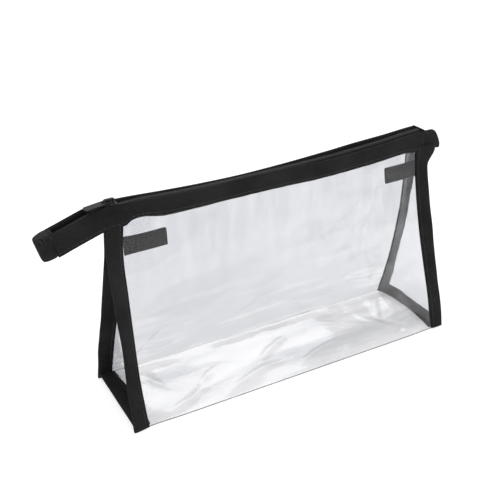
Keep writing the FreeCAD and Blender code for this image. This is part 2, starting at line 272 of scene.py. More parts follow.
ARCH_REACH = 26 * MM  # how far in from its end seams the base is lifted


def base_arch(x, y):
    """Lift of the base toward its end seams."""
    near = smooth((abs(x) - (SEAM - ARCH_REACH)) / ARCH_REACH)
    across = max(0.0, 1 - (y / HALF_DEPTH) ** 2)
    return sizes().arch * near * across ** 0.8


DROOP_START = TAIL_HINGE.x + 9 * MM
DROOP_LENGTH = 16 * MM  # the stretch over which the tail turns down
DROOP_TAPE = 60 * MM  # more tape than the tail and its cap need
TAIL_STEP = 1.0 * MM
TAIL_PINCH, PINCH_LENGTH = 0.9 * MM, 26 * MM


def tail_bend(x):
    """Angle of the zip at x on the straight tape."""
    return sizes().droop * smooth((DROOP_START - x) / DROOP_LENGTH)


@functools.cache
def tail_line():
    """Places along the drooping tail, a step of tape apart, as (x, z drop, angle)."""
    x, drop, along, places = DROOP_START, 0.0, 0.0, []
    while along < DROOP_TAPE:
        angle = tail_bend(DROOP_START - along)
        places.append((x, drop, angle))
        x -= TAIL_STEP * math.cos(angle)
        drop += TAIL_STEP * math.sin(angle)
        along += TAIL_STEP
    return places


def on_tail(x, y, z):
    """Where a point of the straight zip lies once the tail droops."""
    if x >= DROOP_START:
        return Vector((x, y, z))
    places = tail_line()
    along = (DROOP_START - x) / TAIL_STEP
    i = min(int(along), len(places) - 2)
    f = along - i
    px, drop, angle = (a + (b - a) * f for a, b in zip(places[i], places[i + 1]))
    below = HEM_HIGH - z
    return Vector((px + below * math.sin(angle), y, HEM_HIGH - drop - below * math.cos(angle)))


def pinched(side, x, y):
    """The two sides draw together along the tail."""
    return y - side * smooth((TAIL_HINGE.x - x) / PINCH_LENGTH) * TAIL_PINCH


# ---- mesh helpers ------------------------------------------------------------------------
def new_piece(name, verts, faces, uvs=None):
    mesh = bpy.data.meshes.new(name)
    mesh.from_pydata([tuple(v) for v in verts], [], faces)
    mesh.validate()
    if uvs is not None:
        layer = mesh.uv_layers.new(name="weave")
        for loop in mesh.loops:
            layer.data[loop.index].uv = uvs[loop.vertex_index]
    mesh.polygons.foreach_set("use_smooth", [True] * len(mesh.polygons))
    piece = bpy.data.objects.new(name, mesh)
    bpy.context.scene.collection.objects.link(piece)
    return piece


def skin(count, rings, first=0):
    """Faces that join rings of count points, and the numbers of each ring's points from first on."""
    rows = [[first + i * count + k for k in range(count)] for i in range(rings)]
    faces = []
    for low, high in zip(rows, rows[1:]):
        for k in range(count):
            after = (k + 1) % count
            faces.append((low[k], low[after], high[after], high[k]))
    return faces, rows


def tube(name, rings, uvs=None, closed_ends=(True, True)):
    """Closed-section solid through a list of rings, each with the same number of points."""
    faces, rows = skin(len(rings[0]), len(rings))
    if closed_ends[0]:
        faces.append(rows[0][::-1])
    if closed_ends[1]:
        faces.append(rows[-1])
    flat = [uv for row in uvs for uv in row] if uvs else None
    piece = new_piece(name, [p for ring in rings for p in ring], faces, flat)
    face_outward(piece)
    return piece


def face_outward(piece):
    work = bmesh.new()
    work.from_mesh(piece.data)
    bmesh.ops.recalc_face_normals(work, faces=work.faces)
    work.to_mesh(piece.data)
    work.free()


def distances(path):
    """How far along a path each of its points lies."""
    along = [0.0]
    for a, b in zip(path, path[1:]):
        along.append(along[-1] + (b - a).length)
    return along


def strip_uv(rings, along):
    """UV rows in metres: round the section, and along the piece."""
    return [[(around, distance) for around in distances(ring)] for ring, distance in zip(rings, along)]


def film_sheet(name, columns, rows, point, rim=True):
    """Thin slab whose mid-surface is point(i, j), with or without a rim round it."""
    nx, nz = columns + 1, rows + 1
    verts = [point(i / columns, j / rows) for j in range(nz) for i in range(nx)]
    faces = [(j * nx + i, j * nx + i + 1, (j + 1) * nx + i + 1, (j + 1) * nx + i)
             for j in range(rows) for i in range(columns)]
    piece = new_piece(name, verts, faces)
    solid = piece.modifiers.new("thickness", "SOLIDIFY")
    solid.thickness = sizes().film
    solid.offset = 0
    solid.use_rim = rim
    apply_modifiers(piece)
    return piece


def apply_modifiers(piece):
    graph = bpy.context.evaluated_depsgraph_get()
    mesh = bpy.data.meshes.new_from_object(piece.evaluated_get(graph))
    old = piece.data
    piece.modifiers.clear()
    piece.data = mesh
    bpy.data.meshes.remove(old)


def finish_piece(piece, material, replaces=()):
    piece.data.materials.clear()
    piece.data.materials.append(material)
    if replaces:
        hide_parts(*replaces)
    return piece


def circle(centre, across, other, radius, count):
    """Points of a circle round centre, in the plane of two unit vectors."""
    turns = [2 * math.pi * k / count for k in range(count)]
    return [centre + (across * math.cos(a) + other * math.sin(a)) * radius for a in turns]


def steps(start, end, pitch):
    """Evenly spaced values from start to end, about pitch apart."""
    count = max(1, round(abs(end - start) / pitch))
    return [start + (end - start) * i / count for i in range(count + 1)]


# ---- materials ---------------------------------------------------------------------------
class Nodes:
    """Short way to place and join shader nodes."""

    def __init__(self, tree):
        self.tree = tree

    def fill(self, node, values):
        """Set inputs of a node, or link those whose value is another node's output."""
        for key, value in values.items():
            if isinstance(value, bpy.types.NodeSocket):
                self.tree.links.new(value, node.inputs[key])
            else:
                node.inputs[key].default_value = value
        return node

    def add(self, kind, values=None, **settings):
        node = self.tree.nodes.new(kind)
        for key, value in settings.items():
            setattr(node, key, value)
        return self.fill(node, values or {})

    def math(self, operation, a, b=0.0, clamp=False):
        return self.add("ShaderNodeMath", {0: a, 1: b}, operation=operation, use_clamp=clamp).outputs[0]

    def plus(self, a, b, clamp=False):
        return self.math("ADD", a, b, clamp)

    def minus(self, a, b):
        return self.math("SUBTRACT", a, b)

    def times(self, a, b, clamp=False):
        return self.math("MULTIPLY", a, b, clamp)

    def mix(self, factor, a, b):
        return self.add("ShaderNodeMix", {0: factor, 6: a, 7: b}, data_type="RGBA").outputs[2]

    def place(self):
        """Where the shaded point is, in metres."""
        return self.add("ShaderNodeTexCoord").outputs["Object"]

    def noise(self, vector, scale, detail=2.0, rough=0.5):
        values = {"Vector": vector, "Scale": scale, "Detail": detail, "Roughness": rough}
        return self.add("ShaderNodeTexNoise", values).outputs[0]

    def bump(self, height, strength, distance):
        values = {"Strength": strength, "Distance": distance, "Height": height}
        return self.add("ShaderNodeBump", values).outputs[0]


def weave_group():
    """Woven tape: ribs across, threads along, slubs and lint; puts out colour, roughness, height."""
    group = bpy.data.node_groups.get("woven tape")
    if group:
        return group
    group = bpy.data.node_groups.new("woven tape", "ShaderNodeTree")
    sockets = group.interface.new_socket
    for label, kind in (("Ground", "Color"), ("Crown", "Color"), ("Rib Pitch", "Float"),
                        ("Thread Pitch", "Float"), ("Slant", "Float")):
        sockets(label, in_out="INPUT", socket_type=f"NodeSocket{kind}")
    for label, kind in (("Color", "Color"), ("Roughness", "Float"), ("Height", "Float")):
        sockets(label, in_out="OUTPUT", socket_type=f"NodeSocket{kind}")
    n = Nodes(group)
    given = n.add("NodeGroupInput").outputs
    split = n.add("ShaderNodeSeparateXYZ", {0: n.add("ShaderNodeUVMap", uv_map="weave").outputs[0]})
    place = n.place()
    wander = n.times(n.minus(n.noise(place, 140.0), 0.5), 1.2 * MM)
    across = n.plus(split.outputs[0], wander)
    along = n.plus(split.outputs[1], n.times(across, given["Slant"]))
    rib, thread = (n.math("SINE", n.math("DIVIDE", n.times(way, 2 * math.pi), given[pitch]))
                   for way, pitch in ((along, "Rib Pitch"), (across, "Thread Pitch")))
    weave = n.plus(n.plus(n.times(rib, 0.36), n.times(thread, 0.24)), 0.5)
    slub = n.noise(place, 420.0, 3.0, 0.6)
    cloud = n.noise(place, 28.0, 3.0, 0.55)
    lint = n.times(n.math("GREATER_THAN", n.noise(place, 900.0, 1.0), 0.70), 0.2)
    crown = n.times(weave, n.plus(n.times(slub, 0.8), 0.5))
    crown = n.plus(crown, n.times(n.minus(cloud, 0.5), 1.3))
    crown = n.plus(crown, lint, clamp=True)
    n.add("NodeGroupOutput", {"Color": n.mix(crown, given["Ground"], given["Crown"]),
                              "Roughness": n.minus(0.92, n.times(crown, 0.25)),
                              "Height": n.plus(weave, n.times(slub, 0.5))})
    return group


def new_material(name):
    material = bpy.data.materials.new(name)
    material.use_nodes = True
    return material, Nodes(material.node_tree), material.node_tree.nodes["Principled BSDF"]


def cached(builder):
    """Each material is built once, under its builder's docstring, and shared."""
    def get():
        return bpy.data.materials.get(builder.__doc__) or builder(builder.__doc__)
    return get


def woven(name, ground, crown, rib, thread, slant, bump):
    material, n, shader = new_material(name)
    weave = n.add("ShaderNodeGroup", node_tree=weave_group())
    n.fill(weave, {"Ground": ground, "Crown": crown, "Rib Pitch": rib, "Thread Pitch": thread,
                   "Slant": slant})
    n.fill(shader, {"Base Color": weave.outputs["Color"], "Roughness": weave.outputs["Roughness"],
                    "Normal": n.bump(weave.outputs["Height"], bump, 0.25 * MM), "Sheen Weight": 0.02,
                    "Sheen Roughness": 0.5, "Specular IOR Level": 0.09})
    return material


@cached
def binding_material(name):
    """black binding tape"""
    c = colours()
    return woven(name, c.fabric, c.fabric_light, rib=1.25 * MM, thread=1.0 * MM, slant=0.6, bump=0.8)


@cached
def zip_tape_material(name):
    """black zip tape"""
    c = colours()
    return woven(name, c.fabric, c.fabric_light, rib=1.1 * MM, thread=0.7 * MM, slant=0.9, bump=0.55)


@cached
def webbing_material(name):
    """black grip webbing"""
    crown = (0.022, 0.021, 0.025, 1)
    return woven(name, colours().webbing, crown, rib=1.1 * MM, thread=2.2 * MM, slant=0.0, bump=0.6)


@cached
def thread_material(name):
    """black sewing thread"""
    material, n, shader = new_material(name)
    ply = n.noise(n.place(), 2600.0, 1.0)
    n.fill(shader, {"Base Color": n.mix(ply, colours().fabric, colours().fabric_light),
                    "Roughness": n.plus(0.45, n.times(ply, 0.3))})
    return material


@cached
def coil_material(name):
    """black nylon coil"""
    material, n, shader = new_material(name)
    scuff = n.noise(n.place(), 700.0, 3.0, 0.6)
    n.fill(shader, {"Base Color": n.mix(scuff, colours().fabric, (0.03, 0.03, 0.032, 1)),
                    "Roughness": n.plus(0.28, n.times(scuff, 0.3))})
    return material


@cached
def enamel_material(name):
    """black enamel"""
    material, n, shader = new_material(name)
    place = n.place()
    edge = n.add("ShaderNodeNewGeometry").outputs["Pointiness"]
    chips = n.noise(place, 1500.0, 4.0, 0.65)
    worn = n.math("GREATER_THAN", n.plus(edge, n.times(chips, 0.2)), 0.76)
    n.fill(shader, {"Base Color": n.mix(n.times(worn, 0.5), colours().enamel, (0.16, 0.155, 0.15, 1)),
                    "Roughness": n.plus(0.42, n.times(n.noise(place, 900.0, 3.0), 0.25)),
                    "Normal": n.bump(chips, 0.2, 0.05 * MM), "Specular IOR Level": 0.14})
    return material


# How grey the vinyl is made in each place, a little real haziness and mostly painted shade and
# painted reflections: all over, greyer toward the top, in upright streaks below the hem, in long
# streaks near the base, and in patches.
FILM_HAZE_AND_PAINTED_LIGHT = {
    "front": (0.10, 0.60, 0.30, 0.25, 0.3),
    "rear": (0.98, 0.0, 0.45, 1.1, 0.2),
    "base": (0.16, 0.0, 0.0, 1.0, 0.4),
    "gusset": (0.95, 0.0, 0.4, 0.2, 0.6),
}


def film_material(place_name):
    """Clear vinyl as it looks in one place of the bag."""
    # one copy of the vinyl per place, each with its own painted shade
    name = f"clear vinyl, {place_name}"
    if name in bpy.data.materials:
        return bpy.data.materials[name]
    c = colours()
    material, n, shader = new_material(name)
    place = n.place()
    height = n.add("ShaderNodeSeparateXYZ", {0: place}).outputs[2]
    all_over, upward, upright, lengthways, patches = FILM_HAZE_AND_PAINTED_LIGHT[place_name]

    # painted reflections: noise stretched into streaks, lighter and darker than the tint
    def streaks(scale, turn, fine, detail):
        values = {"Vector": place, "Rotation": (0, turn, 0), "Scale": scale}
        drawn_out = n.add("ShaderNodeMapping", values).outputs[0]
        return n.minus(n.noise(drawn_out, fine, detail, 0.55), 0.5)
    # masks of the painted light: greyer toward the top, reflection streaks high and low, patches
    high = n.times(n.minus(height, 0.055), 18.0, clamp=True)
    low = n.times(n.minus(0.06, height), 25.0, clamp=True)
    cloud = n.noise(place, 16.0, 3.0, 0.55)
    painted_reflections_high = n.times(streaks((1, 1, 0.16), 0.12, 95.0, 3.0), high)
    # painted reflection streaks along the low walls and the base
    run = n.times(streaks((0.09, 0.5, 1), -0.05, 120.0, 3.0), low)
    # painted shade in patches
    spots = {"Value": streaks((0.35, 1.3, 1), 0.0, 26.0, 1.0), "From Min": 0.05, "From Max": 0.085}
    spot = n.add("ShaderNodeMapRange", spots).outputs[0]
    haze = n.plus(n.times(n.minus(cloud, 0.5), 0.35), all_over)
    weights = ((high, upward), (painted_reflections_high, 2.2 * upright), (run, 3.0 * lengthways), (spot, 0.45 * patches))
    for streak, weight in weights:
        haze = n.plus(haze, n.times(streak, weight))
    haze = n.plus(haze, 0.0, clamp=True)
    smear = n.times(cloud, n.noise(place, 90.0, 4.0, 0.6))
    crinkle = n.plus(n.noise(place, 55.0, 2.0), n.times(n.noise(place, 240.0, 2.0), 0.15))
    crinkle = n.plus(crinkle, n.times(n.plus(painted_reflections_high, run), 0.8))
    n.fill(shader, {"Base Color": n.mix(haze, c.film, c.haze),
                    "Roughness": n.plus(0.015, n.times(smear, 0.10)),
                    "Normal": n.bump(crinkle, 0.35, 0.9 * MM), "Transmission Weight": 1.0, "IOR": 1.38})
    return material


@cached
def floor_material(name):
    """pale studio floor"""
    material, n, shader = new_material(name)
    mottle = n.times(n.noise(n.place(), 3.0), 0.3)
    n.fill(shader, {"Base Color": n.mix(mottle, colours().floor, (0.48, 0.48, 0.48, 1)), "Roughness": 0.9,
                    "Emission Color": (1, 1, 1, 1), "Emission Strength": 0.6})
    return material


# ---- film --------------------------------------------------------------------------------
# Creases in the film, as ((X, Z) of the middle, angle in degrees, length, width, height), in mm.
FRONT_CREASES = [
    ((-92, 13), 42, 34, 2.6, 1.3), ((-78, 10), 24, 40, 2.8, -1.2), ((-84, 30), 58, 38, 3.0, 1.0),
    ((-60, 22), 33, 44, 3.2, 1.2), ((-42, 12), 14, 52, 3.0, -1.3), ((-34, 33), 38, 40, 3.4, 0.9),
    ((-12, 20), 22, 46, 3.4, 1.2), ((8, 9), 6, 60, 3.2, 1.4), ((30, 22), 16, 44, 3.6, -0.9),
    ((52, 12), 170, 46, 3.0, 1.1), ((78, 16), 154, 40, 2.8, 1.2), ((93, 30), 118, 30, 2.8, 0.9),
    ((88, 8), 168, 34, 2.4, -1.1), ((-98, 52), 74, 34, 2.8, 0.8), ((-20, 60), 50, 60, 7.0, 0.9),
    ((40, 62), 128, 60, 7.0, 0.8), ((-66, 84), 70, 50, 6.0, 0.7), ((86, 84), 100, 52, 6.0, 0.8),
]
REAR_CREASES = [
    ((-86, 18), 48, 40, 3.0, 1.2), ((-50, 14), 20, 56, 3.4, -1.1), ((-10, 24), 30, 54, 4.0, 1.0),
    ((34, 14), 168, 60, 3.6, 1.2), ((80, 20), 140, 42, 3.0, 1.2), ((60, 60), 60, 60, 7.0, -0.9),
    ((-40, 70), 112, 60, 7.0, 0.9), ((92, 50), 104, 44, 3.4, 1.0),
]
CREASES = {FRONT: FRONT_CREASES, REAR: REAR_CREASES}
BASE_CREASES = [  # the same, with Y for Z
    ((-78, -18), 24, 44, 3.4, 1.1), ((-62, -6), 40, 36, 3.0, 0.9), ((-30, -16), 18, 60, 3.6, 1.2),
    ((-8, 2), 34, 52, 3.4, 0.9), ((30, -12), 12, 56, 3.6, 1.1), ((58, 4), 150, 44, 3.2, 1.0),
    ((84, -10), 128, 40, 3.0, 1.1), ((92, 12), 60, 34, 3.0, 0.9), ((-92, 8), 118, 30, 3.0, 1.0),
]


def crease(spot, angle, length, width, height, x, z):
    turn = math.radians(angle)
    dx, dz = x - spot[0], z - spot[1]
    along = dx * math.cos(turn) + dz * math.sin(turn)
    away = dz * math.cos(turn) - dx * math.sin(turn) + 0.006 * along * along
    window = smooth(1.2 - 2.0 * abs(along) / length)
    ridge = math.exp(-(away / width) ** 2)
    return height * window * (ridge - 0.45 * math.exp(-((away - 1.7 * width) / width) ** 2))


def film_relief(side, x, z):
    """Wrinkles of a wall, outward, held flat where it is sewn."""
    mx, mz = x / MM, z / MM
    total = sum(crease(*c, mx, mz) for c in CREASES[side])
    low = smooth(1 - mz / 70)
    total += 1.3 * wave(mx, side * 40, mz, 34) + (0.5 + 0.6 * low) * wave(mx, side * 90, mz * 1.6, 13)
    total += 0.9 * smooth((mz - 62) / 40) * wave(mx * 3.2 + 0.5 * mz, side * 60, mz * 0.3, 30)
    held = smooth((SEAM - abs(x)) / (11 * MM)) * smooth((TAPE_FOOT - z) / (26 * MM) + 0.15)
    held *= smooth(mz / 5)
    return total * MM * held * sizes().wrinkle


def wall_point(side, x, z):
    y = inward(side, x, z, sizes().film / 2) + side * film_relief(side, x, z)
    end = LEFT if x < 0 else RIGHT
    pulled = end * seam_shift(side, end, z) * smooth((abs(x) - SEAM / 2) / (SEAM / 2))
    return Vector((x + pulled, y, z))


def seam_spot(side, end, z):
    """Middle of the film stack where a side seam meets the bag."""
    x = end * (SEAM + seam_shift(side, end, z))
    return Vector((x, inward(side, end * SEAM, z, sizes().film), z))


CREASE_RADIUS = 1.1 * MM  # where the base turns up into the walls
CREASE_TURN = math.radians(76)


def base_z(x, y):
    mx, my = x / MM, y / MM
    edge = smooth((HALF_DEPTH - abs(y)) / (12 * MM))
    sag = 0.6 * (1 + wave(mx, my, 7, 26)) + max(0.0, sum(crease(*c, mx, my) for c in BASE_CREASES))
    return sizes().film / 2 + base_arch(x, y) + sag * MM * edge * smooth((SEAM - abs(x)) / (6 * MM))


def base_point(x, t):
    """t runs from the front wall over the crease, the base and the rear crease, 0 to 1."""
    side = FRONT if t < 0.5 else REAR
    u = abs(t - 0.5) * 2
    flat, r = 0.9, CREASE_RADIUS
    if u <= flat:
        y = side * (HALF_DEPTH - r) * u / flat
        return Vector((x, y, base_z(x, y)))
    turn = (u - flat) / (1 - flat) * CREASE_TURN
    y = side * (HALF_DEPTH - r + r * math.sin(turn))
    z = r * (1 - math.cos(turn)) + base_z(x, side * (HALF_DEPTH - r))
    return Vector((x, y, z))


def gusset_point(end, u, z):
    """u runs from the front seam to the rear seam."""
    front, rear = (seam_spot(side, end, z) for side in (FRONT, REAR))
    spot = front.lerp(rear, u)
    mz, arc = z / MM, math.sin(math.pi * u)
    depth = sizes().dish * (rear - front).length / (2 * HALF_DEPTH) * arc ** 1.2
    rising = 0.35 + 0.65 * smooth(mz / 25)
    ripple = 0.9 * MM * wave(u * 22, end * 30, mz, 17) * arc * smooth(mz / 8)
    spot.x -= end * (depth * rising + ripple)
    spot.z += base_arch(end * SEAM, spot.y) * smooth(1 - mz / 20)
    return spot


UNDER_HEM = 4.0 * MM  # from the top of a hem down to the edge of the film in it
WALL_MARGIN, BASE_MARGIN = 2.0 * MM, 1.0 * MM  # film past the side seams, inside the bindings
GUSSET_FOOT, GUSSET_TOP = 1.4 * MM, HEM_LOW + 3.0 * MM
BASE_ROWS, GUSSET_COLUMNS = 60, 34


def wall_film(side_name, end_name):
    """Half a wall, from its side seam to the middle, hung from the hem."""
    side, outer = SIDES[side_name], ENDS[end_name] * (SEAM + WALL_MARGIN)
    low, high = CREASE_RADIUS * 0.8, HEM_HIGH - UNDER_HEM

    def spot(i, j):
        x = outer * (1 - i)
        return wall_point(side, x, low + (hem_top(side, x) - UNDER_HEM - low) * j)
    cell = sizes().cell
    columns, rows = round(abs(outer) / cell), round((high - low) / cell)
    piece = film_sheet(f"{side_name}_wall_film_{end_name}", columns, rows, spot, rim=False)
    finish_piece(piece, film_material(side_name), [f"{side_name}_window"])
    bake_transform(piece)


def base_film():
    """The base, between its two end seams, and the start of both walls."""
    reach = SEAM + BASE_MARGIN
    piece = film_sheet("base_film", round(2 * reach / sizes().cell), BASE_ROWS,
                       lambda i, j: base_point(-reach + 2 * reach * i, j))
    face_outward(piece)
    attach(finish_piece(piece, film_material("base"), ["base_sheet"]), "shell")


def gusset_film(end_name):
    """The clear triangle of one end."""
    s, end, tall = sizes(), ENDS[end_name], GUSSET_TOP - GUSSET_FOOT
    piece = film_sheet(f"{end_name}_gusset_film", GUSSET_COLUMNS, round(tall / s.cell),
                       lambda i, j: gusset_point(end, i, GUSSET_FOOT + tall * j))
    face_outward(piece)
    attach(finish_piece(piece, film_material("gusset"), [f"{end_name}_gusset"]), "shell")


class BAG_OT_film(bpy.types.Operator):
    """Make the clear walls, base and gussets"""
    bl_idname = "bag.film"
    bl_label = "Film"

    def execute(self, context):
        for side_name in SIDES:
            for end_name in ENDS:
                wall_film(side_name, end_name)
        base_film()
        for end_name in ENDS:
            gusset_film(end_name)
        return {"FINISHED"}


# ---- bindings ----------------------------------------------------------------------------
# How far each fin turns out of its wall's plane, as (Z in mm, degrees).
FIN_TURN = {
    (FRONT, LEFT): [(0, 3), (15, 12), (30, 24), (48, 27), (65, 22), (85, 13), (105, 7), (130, 1)],
    (FRONT, RIGHT): [(0, 0), (30, 6), (65, 15), (95, 14), (112, 6), (130, 1)],
    (REAR, LEFT): [(0, 0), (30, -18), (65, -24), (100, -16), (130, -3)],
    (REAR, RIGHT): [(0, 0), (30, -10), (65, -14), (100, -10), (130, -2)],
}
# Half section of a folded tape, as (share of its width, share of its half thickness): thin at its
# cut edge, grooved at the seam, round at the fold.
FIN_SHAPE = [(0.0, 0.62), (0.05, 0.86), (0.13, 1.0), (0.19, 0.80), (0.25, 1.0), (0.55, 1.06), (0.82, 1.0),
             (0.94, 0.80), (0.99, 0.42)]
FIN_GROOVE = 3  # the point of that section where the seam runs
FIN_TUCK = 0.3 * MM  # how far inside its seam a fin starts
FIN_THICK, BASE_FIN_THICK = 2.3 * MM, 2.1 * MM
FIN_FOOT = 0.8 * MM


def fin_ring(root, out, normal, width, thick, flutter):
    """Section of a folded tape from its cut edges at the root out to the fold."""
    root = root - out * FIN_TUCK
    half = thick / 2
    section = FIN_SHAPE + [(1.0, 0.0)] + [(a, -b) for a, b in reversed(FIN_SHAPE)]
    return [root + out * (a * width) + normal * (b * half + flutter * a * a) for a, b in section]


def side_fin(side, end):
    """Rings of a side binding, and the distance along it."""
    s = sizes()
    rings, roots = [], []
    for z in steps(FIN_FOOT, HEM_LOW + 1.5 * MM, 2.0 * MM):
        root = seam_spot(side, end, z)
        upward = (seam_spot(side, end, z + MM) - root).normalized()
        mz = z / MM
        turn = math.radians(curve_through(FIN_TURN[side, end], z) / MM)
        turn += math.radians(5) * wave(mz, side * 13, end * 29, 26)
        out = Vector((end * math.cos(turn), -math.sin(turn), 0))
        out = (out - upward * out.dot(upward)).normalized()
        normal = upward.cross(out).normalized()
        if normal.y * side < 0:
            normal.negate()
        width = s.fin * (1 + 0.03 * wave(mz, side * 5, end * 7, 14))
        if side == FRONT:
            head = s.head_left if end == LEFT else s.head_right
            width += head * smooth((z - HEM_LOW + 13 * MM) / (12 * MM))
        flutter = 0.5 * MM * wave(mz, side * 31, end * 3, 19)
        rings.append(fin_ring(root, out, normal, width, FIN_THICK, flutter))
        roots.append(root)
    return rings, distances(roots)


def base_fin(end):
    """Rings of a base binding, and the distance along it."""
    rings, roots = [], []
    reach = HALF_DEPTH - 1.6 * MM
    width = sizes().fin + 0.8 * MM
    for y in steps(-reach, reach, 1.6 * MM):
        lift = base_arch(end * SEAM, y)
        root = Vector((end * SEAM, y, lift + 1.15 * MM))
        rise = math.radians(11 - 16 * math.sin(math.pi * (y + reach) / (2 * reach)))
        out = Vector((end * math.cos(rise), 0, math.sin(rise)))
        slope = Vector((0, 1, (base_arch(end * SEAM, y + MM) - lift) / MM)).normalized()
        normal = out.cross(slope).normalized()
        if normal.z < 0:
            normal.negate()
        flutter = 0.3 * MM * wave(y / MM, end * 17, 3, 15)
        rings.append(fin_ring(root, out, normal, width, BASE_FIN_THICK, flutter))
        roots.append(root)
    return rings, distances(roots)


def binding(name, rings, along):
    """A folded tape through its rings, in place of the CAD binding of that name."""
    piece = tube(f"{name}_tape", rings, strip_uv(rings, along))
    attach(finish_piece(piece, binding_material(), [name]), "shell")


class BAG_OT_bindings(bpy.types.Operator):
    """Make the folded tapes on the side seams and on the ends of the base"""
    bl_idname = "bag.bindings"
    bl_label = "Bindings"

    def execute(self, context):
        for end_name, end in ENDS.items():
            for side_name, side in SIDES.items():
                binding(f"{side_name}_{end_name}_binding", *side_fin(side, end))
            binding(f"{end_name}_base_binding", *base_fin(end))
        return {"FINISHED"}


# ---- hems, zip tapes and chain -----------------------------------------------------------
TAIL_MOUTH = TAIL_TIP + 12 * MM  # where the tail's cap starts on the straight zip
TAIL_BLEND = 16 * MM  # past the hinge, the length given as the tail's blend range in SPANS
SPANS = {  # length of zip: (from X, to X, bodies it joins, blend from, blend to)
    "tail": (TAIL_MOUTH, -SEAM, ("tail", "shell"), TAIL_HINGE.x - TAIL_BLEND, TAIL_HINGE.x + 1 * MM),
    "left": (-SEAM, 0.0, ("shell", "wall"), -SEAM, 0.0),
    "right": (0.0, SEAM, ("wall", "shell"), 0.0, SEAM),
    "right_end": (SEAM, SEAM + 6.0 * MM, ("shell",), None, None),
}
STANDS_FOR = {  # the CAD nodes that a length takes the place of, from its kind and its side
    "tail": ["tail_{0}"],
    "left": ["left_{0}_ends", "{1}_{0}"],
    "right": ["right_{0}_ends", "{1}_{0}"],
    "right_end": [],
}


def stations(span):
    """Places along a length of zip; past the hinge they are places on the undrooped tape."""
    start, end = SPANS[span][:2]
    if span == "tail":
        start = DROOP_START - (DROOP_START - TAIL_MOUTH) / math.cos(sizes().droop * 0.8)
    return steps(start, end, 1.5 * MM)


def hem_section(side, x):
    """Binding over a wall's top edge, as (depth inward, z)."""
    s = sizes()
    wrap = s.film + s.zip_tape
    puff = 0.12 * MM * wave(x / MM, side * 9, 2, 9)
    top, foot, level = hem_top(side, x), leg_foot(side, x), shelf(x) + 0.1 * MM
    high, out = top - foot, -s.tape
    return [(0.0, foot), (out * 0.9, foot), (out * 1.15, foot + 0.07 * high), (out, foot + 0.14 * high),
            (out * 1.35 - puff, foot + 0.27 * high), (out * 1.5 - puff, foot + 0.52 * high),
            (out * 1.4, top - 2.2 * MM), (out * 1.1, top - 0.7 * MM), (out * 0.2, top - 0.1 * MM),
            (wrap * 0.6, top), (wrap + s.tape * 0.7, top - 0.3 * MM), (wrap + s.tape, top - 1.1 * MM),
            (wrap + s.tape, level), (wrap, level), (wrap * 0.5, level - 0.6 * MM)]


def tape_section(side, x):
    """Half the zip tape, down inside the film and level to the chain, as (depth inward, z)."""
    s = sizes()
    level = shelf(x)
    edge = abs(inward(side, x, level, 0) - zip_y(x)) - 0.5 * MM
    t, film = s.zip_tape, s.film
    below = (0.9 + 0.7 * wave(x / MM, side * 3, 8, 40) + 0.25 * wave(x / MM, side * 3, 8, 7)) * MM
    foot = leg_foot(side, x) - max(0.0, below) * smooth((SEAM - abs(x)) / (6 * MM))
    return [(film, foot), (film, foot + 3 * MM), (film, level - 0.4 * MM), (film + t, level),
            (edge * 0.6, level), (edge, level - 0.05 * MM), (edge, level - t), (edge * 0.6, level - t),
            (film + 1.5 * t, level - 1.6 * t), (film + t, level - 2.5 * t), (film + t, foot + 3 * MM),
            (film + t, foot)]


def zip_ring(side, x, section):
    ring = []
    for depth, z in section(side, x):
        y = pinched(side, x, inward(side, x, z, depth))
        ring.append(on_tail(x, y, z))
    return ring


def finish_length(piece, kind, side_name, span, material):
    """Finish one length of hem, zip tape or coil, and let it follow its bodies."""
    stands = [node.format(kind, side_name) for node in STANDS_FOR[span]]
    hold(finish_piece(piece, material, stands), side_name, span)


def zip_lengths(kind, section, material):
    """All lengths of hem or zip tape."""
    for side_name, side in SIDES.items():
        for span in SPANS:
            places = stations(span)
            rings = [zip_ring(side, x, section) for x in places]
            shut = (span == "tail", span == "right_end")
            piece = tube(f"{side_name}_{kind}_{span}", rings, strip_uv(rings, places), shut)
            finish_length(piece, kind, side_name, span, material)


def hold(piece, side_name, span):
    """Let a length of zip follow its bodies."""
    _, _, bodies, start, end = SPANS[span]
    named = [f"{side_name}_wall" if b == "wall" else b for b in bodies]
    if len(named) == 1:
        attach(piece, named[0])
    elif span == "tail":
        line = [tuple(on_tail(x, zip_y(x), HEM_HIGH)) for x in (start, end)]
        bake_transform(piece)
    else:
        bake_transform(piece)


class BAG_OT_hems(bpy.types.Operator):
    """Make the bindings over the top edges"""
    bl_idname = "bag.hems"
    bl_label = "Hems"

    def execute(self, context):
        zip_lengths("hem", hem_section, binding_material())
        return {"FINISHED"}


class BAG_OT_zip_tapes(bpy.types.Operator):
    """Make the two halves of the zip tape"""
    bl_idname = "bag.zip_tapes"
    bl_label = "Zip tapes"

    def execute(self, context):
        zip_lengths("zip_tape", tape_section, zip_tape_material())
        return {"FINISHED"}


COIL_WIRE = 0.24 * MM
COIL_OFFSET, COIL_HALF_WIDTH = 0.72 * MM, 1.05 * MM  # from the zip's centre line
TURN_POINTS, WIRE_SIDES = 12, 5


def coil_rings(side, start, end):
    """Rings of a flattened helix: loops that reach past the centre line between the other's."""
    count = round((end - start) / sizes().coil_pitch) * TURN_POINTS
    half_z = (COIL_TOP - SHELF) / 2 - COIL_WIRE
    spots = []
    for i in range(count + 1):
        x = start + (end - start) * i / count
        angle = 2 * math.pi * (i / TURN_POINTS + (0.5 if side == FRONT else 0.0))
        y = zip_y(x) + side * (COIL_OFFSET + COIL_HALF_WIDTH * math.cos(angle))
        spots.append(on_tail(x, y, shelf(x) + COIL_WIRE + half_z * (1 + math.sin(angle))))
    rings = []
    for i, spot in enumerate(spots):
        ahead = spots[min(i + 1, count)] - spots[max(i - 1, 0)]
        across = ahead.cross(Vector((1, 0, 0))).normalized()
        other = ahead.cross(across).normalized()
        rings.append(circle(spot, across, other, COIL_WIRE, WIRE_SIDES))
    return rings


